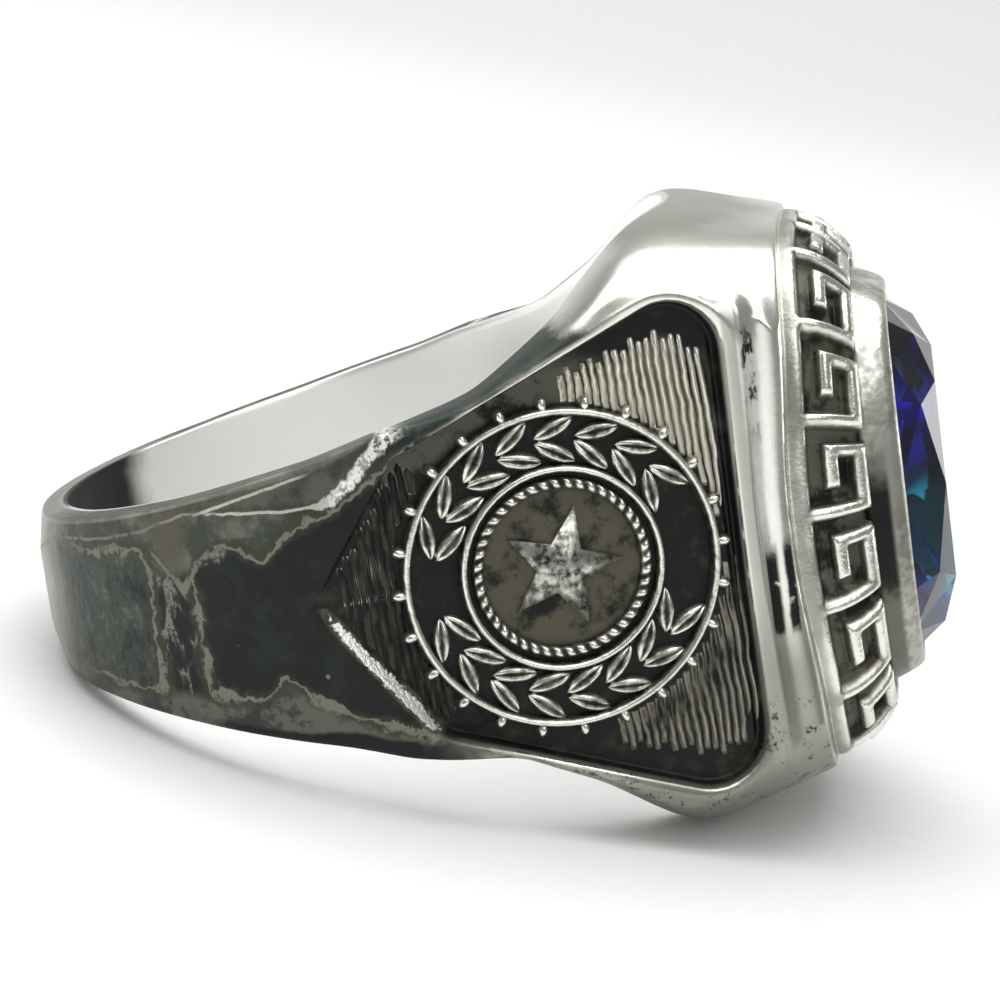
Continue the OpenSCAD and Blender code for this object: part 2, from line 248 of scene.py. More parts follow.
def casting_grid():
    """Rings of points round the finger, each a closed loop over the section, with five numbers for each
    point: relief, from 0 on a panel's floor to 1 round it; height over the bevel's crease; shine, which is
    1 on the shield's lower left wall, where the casting is rubbed bright and has a painted highlight;
    distance outside the shield's rim; and height over the bevel's upper edge."""
    angles = plan_angles()
    rings, notes = [], []
    for angle, r in zip(angles, outer_r(angles)):
        rows, crease, top = section_rows(angle, r)
        half = np.column_stack([-rows[:, 0] * math.cos(angle), rows[:, 0] * math.sin(angle), rows[:, 1]])
        loop = np.vstack([half, half[-2:0:-1] * [1, 1, -1]])
        up = abs(loop[:, 2])
        along, height = floor_place(loop[:, 0], loop[:, 1])
        outside = shield_distance(along, loop[:, 2])
        flank = (along > -1) & (height > -0.05) & (height < 2.5)
        # The shield is sunk to its floor, with a low rim round it and a fine line along its straight end
        tip = smooth(3.7, 2.8, along) * (loop[:, 2] < 0)
        sunk = smooth(0.1, -wall_slope - rubbed_slope * tip, outside) * flank
        rim = 0.07 * bump(outside, 0.32, 0.2) * smooth(1, 4, along)
        line = 0.16 * bump(outside, -0.3, 0.075) * smooth(11.3, 12.3, along) * smooth(6.6, 5.2, up)
        # A fine ridge and a groove run up the flank beside the shield's end
        ridge = 0.045 * bump(along, 13.6, 0.08) - 0.12 * bump(along, 14.0, 0.22)
        ridge *= smooth(8.0, 6.5, up) * (rows[0, 0] - np.hypot(loop[:, 0], loop[:, 1]) < 0.8)
        move = np.where(flank, rim - sunk * (height - line), 0) + ridge
        loop[:, 0] += move * math.sin(floor_slant)
        loop[:, 1] += move * math.cos(floor_slant)
        loop[:, 0] += front_bow(loop[:, 2]) * smooth(11.8, 13.3, loop[:, 0])
        shine = tip * bump(outside, -0.2, 0.17) * smooth(0.0, 1.1, along) * flank
        rings.append(loop)
        notes.append(np.stack([1 - sunk, up - crease, shine, np.where(flank, outside, 9), up - top], -1))
    far = [ring * [1, -1, 1] for ring in rings[-2:0:-1]]
    return np.array(rings + far), np.array(notes + notes[-2:0:-1])


def link(data, name):
    """Object that sets a mesh, curve, lamp or camera in the scene."""
    piece = bpy.data.objects.new(name, data)
    bpy.context.scene.collection.objects.link(piece)
    return piece


def new_mesh(name, points, faces=()):
    """Mesh of points and faces."""
    mesh = bpy.data.meshes.new(name)
    mesh.from_pydata(points, [], faces)
    return mesh


def ring_mesh(name, rings):
    """Closed surface through rings of points, in the ring's own millimetres, with its faces outwards."""
    count, size = rings.shape[:2]
    i, j = np.meshgrid(np.arange(count), np.arange(size), indexing="ij")
    following, beside = (i + 1) % count * size, (j + 1) % size
    faces = np.stack([i * size + j, following + j, following + beside, i * size + beside], -1)
    places = rings.reshape(-1, 3) @ LYING.T * MM + ring_middle
    mesh = new_mesh(name, places.tolist(), faces.reshape(-1, 4).tolist())
    outwards(mesh)
    return mesh


def outwards(mesh):
    """Turns every face outwards and shades it smoothly."""
    work = bmesh.new()
    work.from_mesh(mesh)
    bmesh.ops.recalc_face_normals(work, faces=work.faces)
    work.to_mesh(mesh)
    work.free()
    mesh.shade_smooth()


def note(mesh, name, values):
    """Keeps one number for each point of a mesh, for its finish to read."""
    kept = mesh.attributes.new(name, "FLOAT", "POINT")
    kept.data.foreach_set("value", np.asarray(values, np.float32).ravel())


def note_edges(mesh):
    """Keeps how sharply the surface bends at each point, in turns per mm, above zero on worn edges."""
    points, normals = np.empty((2, len(mesh.vertices) * 3))
    mesh.vertices.foreach_get("co", points)
    mesh.vertices.foreach_get("normal", normals)
    points, normals = points.reshape(-1, 3) / MM, normals.reshape(-1, 3)
    ends = np.empty(len(mesh.edges) * 2, int)
    mesh.edges.foreach_get("vertices", ends)
    ends = ends.reshape(-1, 2)
    step = points[ends[:, 1]] - points[ends[:, 0]]
    square = np.maximum((step ** 2).sum(1), 1e-4)
    total, count = np.zeros((2, len(points)))
    for k, sign in ((0, -1), (1, 1)):
        np.add.at(total, ends[:, k], sign * (normals[ends[:, k]] * step).sum(1) / square)
        np.add.at(count, ends[:, k], 1)
    bend = total / np.maximum(count, 1)
    for _ in range(2):
        spread, count = bend.copy(), np.ones(len(points))
        for a, b in ((0, 1), (1, 0)):
            np.add.at(spread, ends[:, a], bend[ends[:, b]])
            np.add.at(count, ends[:, a], 1)
        bend = spread / count
    note(mesh, "edge", bend)


casting_rings, casting_notes = casting_grid()
casting = link(ring_mesh("band_casting", casting_rings), "band_casting")
for name, values in zip(("relief", "crease", "shine", "rim", "lip"), np.moveaxis(casting_notes, -1, 0)):
    note(casting.data, name, values)
note_edges(casting.data)


class Wire:
    """An output of a node. Sums written with wires and numbers add the nodes that work them out."""

    def __init__(self, wiring, socket):
        self.wiring, self.socket = wiring, socket

    def __add__(self, other):
        return self.wiring.maths("ADD", self, other)

    def __sub__(self, other):
        return self.wiring.maths("SUBTRACT", self, other)

    def __rsub__(self, other):
        return self.wiring.maths("SUBTRACT", other, self)

    def __mul__(self, other):
        return self.wiring.maths("MULTIPLY", self, other)

    def __truediv__(self, other):
        return self.wiring.maths("DIVIDE", self, other)

    def __pow__(self, other):
        return self.wiring.maths("POWER", self, other)

    def __abs__(self):
        return self.wiring.maths("ABSOLUTE", self)

    __radd__, __rmul__ = __add__, __mul__

    def fade(self, low, high):
        """Share that rises smoothly from 0 where the value is low to 1 where it is high."""
        return self.wiring.node("ShaderNodeMapRange", {"interpolation_type": "SMOOTHSTEP"},
                                {"Value": self, "From Min": low, "From Max": high})

    def line(self, width):
        """Share that is 1 where the value is 0 and falls off on both sides of it."""
        return 1 - abs(self).fade(width * 0.5, width)

    def noise(self, size, detail=3.0, rough=0.55):
        """Cloudy pattern from 0 to 1 over a place, with patches of about this size in mm."""
        return self.wiring.node("ShaderNodeTexNoise", {}, {"Vector": self, "Scale": 1 / size,
                                                           "Detail": detail, "Roughness": rough}, "Fac")

    def stretched(self, share):
        """A place whose patterns are drawn out along the finger, because z counts by this share only."""
        return self.wiring.node("ShaderNodeVectorMath", {"operation": "MULTIPLY"},
                                {0: self, 1: (1, 1, share)})

    def parts(self):
        """The three numbers of a vector."""
        node = self.wiring.node("ShaderNodeSeparateXYZ", {}, {"Vector": self}).socket.node
        return [self.wiring.output(node, k) for k in range(3)]


class Wiring:
    """A node tree, with one method that adds any node to it."""

    def __init__(self, tree):
        self.tree = tree

    def node(self, kind, settings, inputs, out=0):
        """Adds a node, sets its settings, then its inputs by name or place, and gives its output."""
        node = self.tree.nodes.new(kind)
        for name, setting in settings.items():
            setattr(node, name, setting)
        free = [socket for socket in node.inputs if socket.enabled]
        for name, value in inputs.items():
            socket = free[name] if isinstance(name, int) else next(s for s in free if s.name == name)
            if isinstance(value, Wire):
                self.tree.links.new(value.socket, socket)
            else:
                socket.default_value = value
        return self.output(node, out)

    def output(self, node, out):
        """An output of a node, by name or place."""
        free = [socket for socket in node.outputs if socket.enabled]
        return Wire(self, free[out] if isinstance(out, int) else next(s for s in free if s.name == out))

    def maths(self, operation, *terms):
        """Adds the node that works out a sum of numbers, or of vectors where a term is one."""
        vectors = [term for term in terms if isinstance(term, Wire) and term.socket.type == "VECTOR"]
        if vectors and operation == "MULTIPLY":
            size = next(term for term in terms if term is not vectors[0])
            return self.node("ShaderNodeVectorMath", {"operation": "SCALE"},
                             {"Vector": vectors[0], "Scale": size})
        kind = "ShaderNodeVectorMath" if vectors else "ShaderNodeMath"
        return self.node(kind, {"operation": operation}, dict(enumerate(terms)))

    def mix(self, share, under, over, kind="FLOAT"):
        """One number or colour where share is 0, another where it is 1."""
        return self.node("ShaderNodeMix", {"data_type": kind}, {"Factor": share, "A": under, "B": over})

    def vector(self, *parts):
        """A vector of up to three numbers."""
        return self.node("ShaderNodeCombineXYZ", {}, dict(enumerate(parts)))

    def attribute(self, name):
        """One of the numbers kept for each point of the mesh."""
        return self.node("ShaderNodeAttribute", {"attribute_name": name}, {}, "Fac")

    def show(self, shader):
        """Gives the material this shader."""
        self.tree.links.new(shader.socket, self.tree.nodes.new("ShaderNodeOutputMaterial").inputs["Surface"])


# Degrees round the finger, height of the edge of the black crust on the shoulders, above and below
CRUST_TOP = np.array([[30, 1.7], [40, 1.95], [52, 1.95], [58.8, 2.05], [63.9, 1.6], [67.6, 0.6], [70.1, 1.4],
                      [74.9, 2.03], [78.9, 1.85], [81.1, 1.55], [84.7, 2.3], [89.6, 2.75], [94, 3.0],
                      [100, 3.9], [108, 5.0]])
CRUST_FOOT = np.array([[30, -1.75], [46, -2.15], [56.5, -2.3], [65.4, -2.2], [72.4, -2.5], [76.5, -2.65],
                       [80, -2.5], [82.3, -1.9], [85.5, -2.6], [92.3, -3.4], [102, -4.0], [110, -4.3]])
# Degrees round the finger between which the black crust and the green patch lie
crust_from, crust_to, green_from, green_to = 69.5, 111, 36, 61
# Degrees round the finger where a line of film bridges the two
bridge_turn = 67.5


def stain_fields(rings):
    """How far each point of the casting lies outside the black crust and the green patch, in mm."""
    x, y, z = rings[..., 0], abs(rings[..., 1]), rings[..., 2]
    turn = np.degrees(np.arctan2(y, -x))
    edges = np.maximum.reduce([z - np.interp(turn, *CRUST_TOP.T), np.interp(turn, *CRUST_FOOT.T) - z,
                               (bore_r + 0.6 - np.hypot(x, y)) * 4])
    degree = math.radians(1) * shoulder_r
    return (np.maximum.reduce([edges, (crust_from - turn) * degree, (turn - crust_to) * degree]),
            np.maximum.reduce([edges, (green_from - turn) * degree, (turn - green_to) * degree]))


def ring_place(wiring):
    """Distances in mm along the ring's own axes, one by one and as a vector."""
    place = wiring.node("ShaderNodeTexCoord", {}, {}, "Object") - tuple(ring_middle)
    axes = [wiring.node("ShaderNodeVectorMath", {"operation": "DOT_PRODUCT"},
                        {0: place, 1: tuple(LYING[:, k] / MM)}, "Value") for k in range(3)]
    return axes, wiring.vector(*axes)


def distance(across, up):
    """Distance from a middle, from the distances across and up."""
    return (across * across + up * up) ** 0.5


class Coat:
    """One layer of finish: its colour, how metallic it is and how rough."""

    def __init__(self, colour, metallic, roughness):
        self.colour, self.metallic, self.roughness = colour, metallic, roughness

    def cover(self, share, over):
        """This layer with another one over it where share is 1."""
        mix = share.wiring.mix
        return Coat(mix(share, self.colour, over.colour, "RGBA"), mix(share, self.metallic, over.metallic),
                    mix(share, self.roughness, over.roughness))


bare_silver = Coat((0.84, 0.83, 0.76, 1), 1.0, 0.24)
# Rubbed silver, whiter than the metal and partly matt: rubbed metal with a painted highlight
rubbed_and_highlight_silver = Coat((1.0, 0.99, 0.94, 1), 0.65, 0.34)
worn_silver = Coat((0.39, 0.385, 0.335, 1), 1.0, 0.38)
dull_silver = Coat((0.15, 0.148, 0.12, 1), 0.9, 0.4)
inner_silver = Coat((0.93, 0.925, 0.9, 1), 0.9, 0.34)
green_crust = Coat((0.05, 0.062, 0.05, 1), 0.5, 0.45)
teal_crust = Coat((0.022, 0.033, 0.03, 1), 0.5, 0.4)
# Black crust, also used as painted shade where no light reaches
black_shade_and_crust = Coat((0.008, 0.0085, 0.008, 1), 0.2, 0.42)
olive_film = Coat((0.1, 0.095, 0.065, 1), 0.4, 0.5)
tan_film = Coat((0.2, 0.196, 0.158, 1), 0.2, 0.55)
faded_film = Coat((0.13, 0.13, 0.105, 1), 0.4, 0.5)
cream_film = Coat((0.6, 0.59, 0.52, 1), 0.6, 0.4)
brown_film = Coat((0.05, 0.045, 0.028, 1), 0.3, 0.5)


def new_wiring(name):
    """A new material and its empty node tree."""
    material = bpy.data.materials.new(name)
    material.use_nodes = True
    material.node_tree.nodes.clear()
    return material, Wiring(material.node_tree)


def finish(name, paint):
    """Metal finish from a function that gives the layer to show and the height of its bumps in mm."""
    material, wiring = new_wiring(name)
    shown, height = paint(wiring)
    bumps = wiring.node("ShaderNodeBump", {}, {"Height": height, "Distance": MM, "Strength": 1.0})
    wiring.show(wiring.node("ShaderNodeBsdfPrincipled", {}, {
        "Base Color": shown.colour, "Metallic": shown.metallic, "Roughness": shown.roughness,
        "Normal": bumps, "Specular IOR Level": 0.3}))
    return material


def casting_paint(wiring):
    """Finish of the casting, with the shank's stains, the polished head, the bore and the grime."""
    (x, y, z), place = ring_place(wiring)
    relief, edge, shine, rim = (wiring.attribute(name) for name in ("relief", "edge", "shine", "rim"))
    crust, green, crease, lip = (wiring.attribute(name) for name in ("crust", "green", "crease", "lip"))
    turn = wiring.maths("ARCTAN2", abs(y), x * -1.0) * math.degrees(1)
    cloud, grain, speck = place.noise(2.4, 4), place.noise(0.6, 5), place.noise(0.12, 3)
    mottle = place.noise(1.1, 6, 0.65)
    blotch = place.stretched(0.45).noise(0.6, 5)
    ragged = (cloud - 0.5) * 0.6 + (grain - 0.5) * 0.75 + (speck - 0.5) * 0.12
    crust, green = crust + ragged, green + ragged
    # The shank has dulled to olive and green
    shank = green_crust.cover(mottle.fade(0.45, 0.68), dull_silver)
    shank = shank.cover((turn + (mottle - 0.5) * 30).fade(42, 22) * 0.7, worn_silver)
    low = (z + (grain - 0.5) * 1.2).fade(-2.0, -2.8)
    shank = shank.cover(low * mottle.fade(0.3, 0.5), faded_film)
    shank = shank.cover(low * (mottle + (cloud - 0.5)).fade(0.5, 0.38) * 0.8, teal_crust)
    lower_bevel = (lip + (grain - 0.5) * 0.3 + turn.fade(78, 95) * 0.3).fade(-0.36, -0.2)
    shank = shank.cover(lower_bevel * z.fade(-1, -2) * turn.fade(66, 74), black_shade_and_crust)
    upper_bevel = z.fade(1.2, 2.0) * turn.fade(52, 60) * turn.fade(80, 70)
    shank = shank.cover(upper_bevel * cloud.fade(0.42, 0.6), olive_film)
    # Between the green patch and the crust the film is blotched
    middle = turn.fade(58, 62) * turn.fade(71, 68) * z.fade(1.6, 0.9) * z.fade(-2.6, -2.2)
    shank = shank.cover(middle * blotch.fade(0.66, 0.5), black_shade_and_crust)
    shank = shank.cover(middle * (blotch - 0.64).line(0.07) * speck.fade(0.35, 0.5), tan_film)
    # The green patch is streaked and flecked, and the crust is teal where it is thin
    green_in = green.fade(0.25, -0.35)
    shank = shank.cover(green_in * (turn + (mottle - 0.5) * 24).fade(30, 44), green_crust)
    shank = shank.cover(green_in * (blotch + turn * 0.004).fade(0.66, 0.88) * 0.7, teal_crust)
    streaks = place.stretched(0.3).noise(0.22, 5, 0.7)
    shank = shank.cover(green_in * (streaks * 0.5 + mottle * 0.5).fade(0.52, 0.66) * 0.6, dull_silver)
    shank = shank.cover(green_in * (streaks * 0.6 + mottle * 0.4).fade(0.46, 0.38) * 0.85, black_shade_and_crust)
    flecks = place.noise(0.3, 6, 0.8)
    shank = shank.cover(green_in * (flecks * 0.6 + mottle * 0.4).fade(0.48, 0.4) * 0.75, black_shade_and_crust)
    shank = shank.cover(green_in * (flecks * 0.6 + mottle * 0.4).fade(0.52, 0.62) * 0.7, faded_film)
    within = crust.fade(0.1, -0.1)
    shank = shank.cover(within, black_shade_and_crust)
    shank = shank.cover(within * mottle.fade(0.46, 0.66) * 0.6, teal_crust)
    # Thin cracked lines of tan film with a brown halo run round the crust and the green patch
    halo = abs(crust - 0.05).fade(0.42, 0.12) + abs(green - 0.05).fade(0.42, 0.12) * turn.fade(40, 48)
    shank = shank.cover(halo * mottle.fade(0.3, 0.5) * 0.85, brown_film)
    thick = mottle.fade(0.46, 0.72) * 0.36 + 0.085
    drawn = (crust / thick).line(0.9) + (green / thick).line(0.8) * turn.fade(38, 50)
    aside = abs(turn - bridge_turn)
    bridge = (z - 0.83 - aside * 0.217 + (grain - 0.5) * 0.3).line(0.12 + aside.fade(2, 0) * 0.2)
    drawn = drawn + bridge * aside.fade(5.6, 4.6)
    drawn = drawn * ((speck * 0.5 + grain * 0.5).fade(0.34, 0.5) * 0.75 + 0.2)
    shank = shank.cover(drawn, tan_film)
    dots = wiring.node("ShaderNodeTexVoronoi", {}, {"Vector": place, "Scale": 0.8}, "Distance")
    shank = shank.cover((dots + (speck - 0.5) * 0.06).fade(0.075, 0.03) * within, tan_film)
    # The crease of the upper bevel is rubbed to a thin line; where it climbs to the head it is rubbed bright
    # and has a painted highlight
    climb = turn.fade(89, 95)
    jagged = (grain - 0.5) * (climb * 0.35 + 0.22) + (streaks - 0.5) * climb * 0.5
    rubbed = (crease + jagged).line(0.06 + climb * 0.28) * z.fade(0, 1) * turn.fade(107, 102)
    rubbed = rubbed * (cloud * 0.5 + grain * 0.5 + turn.fade(76, 84)).fade(0.4, 0.54)
    broken = (speck * 0.5 + streaks * 0.5).fade(0.38, 0.54) * (climb * 0.6 + 0.1)
    rubbed = rubbed * (broken + 0.9 - climb * 0.6)
    # A fine line branches off below it, and the film over it has faded
    branch = (z - turn * 0.0516 + 0.571 + (grain - 0.5) * 0.12).line(0.06)
    branch = branch * turn.fade(71, 74) * turn.fade(91, 87)
    above_crease = crease.fade(0.1, 0.3) * z.fade(0, 1) * turn.fade(66, 74)
    shank = shank.cover(above_crease * mottle.fade(0.3, 0.55) * 0.7, faded_film)
    worn_edge = edge.fade(0.5, 1.5) * (mottle.fade(0.4, 0.6) * 0.5 + 0.5) * (1 - within) * z.fade(-1.5, 0)
    shank = shank.cover(worn_edge * 0.7, worn_silver)
    shank = shank.cover(rubbed * (1 - climb) * turn.fade(76, 64), tan_film)
    pale = rubbed * (1 - climb) * turn.fade(64, 76) * 0.85 + branch * grain.fade(0.35, 0.5)
    shank = shank.cover(pale, cream_film)
    # Painted highlight on the rubbed ridge where it climbs to the head
    shank = shank.cover(rubbed * climb, rubbed_and_highlight_silver)
    # The head is polished by wear, apart from the shoulders' slopes and some pits below; its top is painted
    # darker as shade
    head = bare_silver.cover((z + (cloud - 0.5) * 2).fade(-1.2, -4.6), worn_silver)
    head = head.cover((z + (cloud - 0.5) * 2).fade(-5.6, -7.4) * 0.4, dull_silver)
    # Painted shade: the top of the head is darker
    head = head.cover((z + (cloud - 0.5) * 0.7).fade(8.75, 9.25) * 0.85, worn_silver)
    # Beside the shield's end a rim, a groove with stains, and a band with a painted highlight run up the
    # flank
    along = ((x - floor_start[0]) * math.cos(floor_slant)
             + (floor_start[1] - abs(y)) * math.sin(floor_slant))
    rim_face = along.fade(13.2, 13.3) * along.fade(13.66, 13.58) * abs(z).fade(7.5, 6.5)
    head = head.cover(rim_face * 0.6, worn_silver)
    hollow = (along - 13.98 + (mottle - 0.5) * 0.25).line(0.3) * abs(z).fade(7.2, 5.8)
    hollow = hollow * z.fade(-4.2, -3.2)
    stained = (along - 13.95).line(0.26) + (along - 14.5 + (mottle - 0.5) * 0.2).line(0.2)
    stained = stained * (z + (grain - 0.5)).fade(-3.4, -2.9) * (z + (mottle - 0.5) * 2).fade(0.2, -0.6)
    cracks = (streaks * 0.6 + mottle * 0.4).fade(0.5, 0.58) * (z.fade(2.4, 4.2) * 0.8 + 0.2)
    head = head.cover(hollow * cracks, dull_silver)
    head = head.cover(hollow * cracks * mottle.fade(0.48, 0.6), black_shade_and_crust)
    head = head.cover(stained * mottle.fade(0.36, 0.46), black_shade_and_crust)
    # Painted highlight: a bright band up the flank beside the groove
    painted_highlight = along.fade(13.66, 13.8) * along.fade(14.45, 14.3) * (z + (mottle - 0.5) * 2).fade(-0.8, 0.6)
    painted_highlight = painted_highlight * (z + (mottle - 0.5)).fade(6.4, 5.6) * (1 - hollow * cracks)
    head = head.cover(painted_highlight * ((streaks * 0.5 + cloud * 0.5).fade(0.38, 0.5) * 0.6 + 0.2), rubbed_and_highlight_silver)
    pits = (speck * 0.5 + grain * 0.5).fade(0.45, 0.37) * z.fade(-4.5, -6.0)
    head = head.cover(pits, brown_film)
    residue = (turn + (grain - 0.5) * 8).fade(124, 112) * z.fade(-4.2, -5.0)
    head = head.cover(residue * mottle.fade(0.4, 0.6), olive_film)
    # The polish ends on the shoulders, whose upper slopes kept their green crust
    toward = x + (mottle - 0.5) * 2.5 - z.fade(3.8, 5.2) * 2.6
    polished = toward.fade(2.4, 4.8)
    shown = shank.cover(polished, head)
    slope = z.fade(3.6, 4.6) * turn.fade(97, 102) * rim.fade(0.1, 0.3)
    slope = slope * (turn + (mottle - 0.5) * 12).fade(140, 133) * (z + (mottle - 0.5)).fade(7.5, 6.9)
    shown = shown.cover(slope * (1 - rubbed), green_crust)
    shown = shown.cover(slope * (1 - rubbed) * (mottle + turn * 0.012).fade(1.98, 1.72), teal_crust)
    # Inside, the shank is plain, and dark at the back
    inside = distance(x, y).fade(bore_r + 0.3, bore_r + 0.1)
    shown = shown.cover(inside, inner_silver)
    shown = shown.cover(inside * (x + (cloud - 0.5) * 0.6).fade(-8.9, -9.7), black_shade_and_crust)
    # Grime fills the sunk shield. The bottom of the stone's seat is painted black as shade, since no light
    # or polish reaches it under the stone.
    grime = black_shade_and_crust.cover((grain * 0.5 + mottle * 0.5).fade(0.52, 0.66) * 0.7, brown_film)
    away = distance(x - medallion_x, z)
    ribbed = away.fade(4.9, 5.4) * x.fade(5.0, 7.0) * rim.fade(-0.9, -1.4)
    ribbed = ribbed * (cloud * 0.5 + grain * 0.5 + z * 0.03).fade(0.32, 0.46)
    ribbed = ribbed + away.fade(2.6, 2.2) * mottle.fade(0.38, 0.55)
    grime = grime.cover(ribbed, olive_film)
    grime = grime.cover(ribbed * z.fade(2, 4) * mottle.fade(0.4, 0.55), tan_film)
    clogged = away.fade(4.8, 5.1) * away.fade(6.6, 5.8) * z.fade(2, 4)
    grime = grime.cover(clogged * (mottle * 0.7 + cloud * 0.3).fade(0.42, 0.52) * 0.8, faded_film)
    shown = shown.cover(relief.fade(0.9, 0.4), grime)
    # Painted shade: the seat under the stone is painted black
    seat = x.fade(head_x - 0.12, head_x - 0.06) * abs(z).fade(6.8, 6.4)
    seat = seat * abs(y).fade(6.2, 5.8)
    shown = shown.cover(seat, black_shade_and_crust)
    # The shield's lower left wall is rubbed bright and has a painted highlight, and every raised edge of the
    # head is rubbed bright
    near_tip = shine.fade(0.02, 0.3) * mottle.fade(0.4, 0.55)
    shown = shown.cover(near_tip, olive_film)
    # Painted highlight over the rubbed lower left wall of the shield
    bright = (shine + (speck - 0.5) * 1.3 + (grain - 0.5) * 0.6).fade(0.42, 0.6)
    shown = shown.cover(bright, rubbed_and_highlight_silver)
    crest = (edge - slope).fade(0.8, 2.2) * x.fade(3, 6) * relief.fade(0.3, 0.6)
    shown = shown.cover(crest, bare_silver)
    rough = cloud * 0.05 + grain * 0.02 + speck * 0.005
    rough = rough * (1 - polished * 0.8) + rubbed * streaks * climb * 0.05 + drawn * 0.02
    return shown, rough * (1 - inside) + bright * speck * 0.08


for name, values in zip(("crust", "green"), stain_fields(casting_rings)):
    note(casting.data, name, values)
casting.data.materials.append(finish("silver_casting", casting_paint))
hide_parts("band")
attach(casting, "root")

# The border round the bezel is one strip of raised key, cast with the head, its tops rounded and
# polished by wear. Here one unit of it is shaped flat, repeated and bent round the domed slope.

# Number of units, how high the key stands over its ground, and how deep the strip goes into the head
key_count, key_rise, key_deep = 18, 0.45, 0.95
# Half width and half height of the bezel at its foot and at the collar
foot_y, foot_z, collar_y, collar_z = 7.35, 8.62, 5.4, 6.62
# How far the domed slope stands out from the head, and how far it turns over on the way
slope_rise, slope_turn = 2.8, math.radians(50)
# The collar's front along x
lip_x = head_x + slope_rise + 0.65
# One unit of the key, 1 where it is raised: a row for each step round the bezel, from the foot inwards
KEY = np.array([[1, 1, 1, 1, 1],
                [1, 0, 0, 0, 1],
                [1, 0, 1, 0, 1],
                [1, 0, 1, 0, 1],
                [1, 0, 1, 1, 1],
                [1, 0, 0, 0, 0]])
cells_u, cells_v = KEY.shape
# Shares of the slope between which the key lies
key_from, key_to = 0.04, 0.86
# Kind of tree input that each kind of value takes
SOCKETS = {bpy.types.Object: "NodeSocketObject", bpy.types.Material: "NodeSocketMaterial",
           int: "NodeSocketInt", float: "NodeSocketFloat"}


def grow(name, start, build, inputs):
    """Object whose plain mesh a tree of geometry nodes makes out of a starting mesh. The tree has a named
    input for each value, and one of them is the finish."""
    tree = bpy.data.node_groups.new(name, "GeometryNodeTree")
    tree.interface.new_socket("Geometry", in_out="INPUT", socket_type="NodeSocketGeometry")
    tree.interface.new_socket("Geometry", in_out="OUTPUT", socket_type="NodeSocketGeometry")
    named = {key: tree.interface.new_socket(key, in_out="INPUT", socket_type=SOCKETS[type(value)])
             for key, value in inputs.items()}
    wiring, entry = Wiring(tree), tree.nodes.new("NodeGroupInput")
    given = {key: wiring.output(entry, key) for key in ["Geometry", *inputs]}
    grown = wiring.node("GeometryNodeRealizeInstances", {}, {"Geometry": build(wiring, given)})
    grown = wiring.node("GeometryNodeSetMaterial", {}, {"Geometry": grown, "Material": given["Finish"]})
    tree.links.new(grown.socket, tree.nodes.new("NodeGroupOutput").inputs[0])
    piece = link(start, name)
    modifier = piece.modifiers.new(name, "NODES")
    modifier.node_group = tree
    for key, value in inputs.items():
        modifier[named[key].identifier] = value
    result = bpy.data.meshes.new_from_object(piece.evaluated_get(bpy.context.evaluated_depsgraph_get()))
    piece.modifiers.clear()
    piece.data = result
    result.name = name
    for guide in [value for value in inputs.values() if isinstance(value, bpy.types.Object)]:
        bpy.data.objects.remove(guide)
    return piece


def merge(mesh, reach):
    """Joins the points of a mesh that lie within reach of each other."""
    work = bmesh.new()
    work.from_mesh(mesh)
    bmesh.ops.remove_doubles(work, verts=work.verts, dist=reach)
    work.to_mesh(mesh)
    work.free()


def lay(mesh, place):
    """Moves the points of a mesh by a function and sets them in the lying ring."""
    points = np.empty(len(mesh.vertices) * 3, np.float32)
    mesh.vertices.foreach_get("co", points)
    moved = place(points.reshape(-1, 3).astype(float)) @ LYING.T * MM + ring_middle
    mesh.vertices.foreach_set("co", moved.astype(np.float32).ravel())
    outwards(mesh)
    mesh.update()


def cushion(half_y, half_z, count):
    """Points of a cushion outline in even steps, from the far side down, and its length."""
    t = np.linspace(0, 2 * math.pi, 2881)
    c, s = np.cos(t), np.sin(t)
    points = np.column_stack([half_y * np.sign(c) * abs(c) ** (2 / squareness),
                              -half_z * np.sign(s) * abs(s) ** (2 / squareness)])
    length = np.concatenate([[0], np.cumsum(np.linalg.norm(np.diff(points, axis=0), axis=1))])
    even = np.linspace(0, length[-1], count + 1)[:-1]
    return np.column_stack([np.interp(even, length, points[:, k]) for k in (0, 1)]), length[-1]


def path(name, points):
    """Closed curve object through points."""
    curve = bpy.data.curves.new(name, "CURVE")
    curve.dimensions = "3D"
    line = curve.splines.new("POLY")
    line.points.add(len(points) - 1)
    for point, place in zip(line.points, points):
        point.co = (*place, 0, 1)
    line.use_cyclic_u = True
    return link(curve, name)


def bezel_frame(points):
    """From across, along and outwards over the bezel to the ring's own axes."""
    return points[:, [2, 0, 1]]


foot_outline, foot_long = cushion(foot_y, foot_z, 1440)
# Length over the dome, which is a little more than the straight line
slope_long = math.hypot(foot_y - collar_y, slope_rise) * 1.03


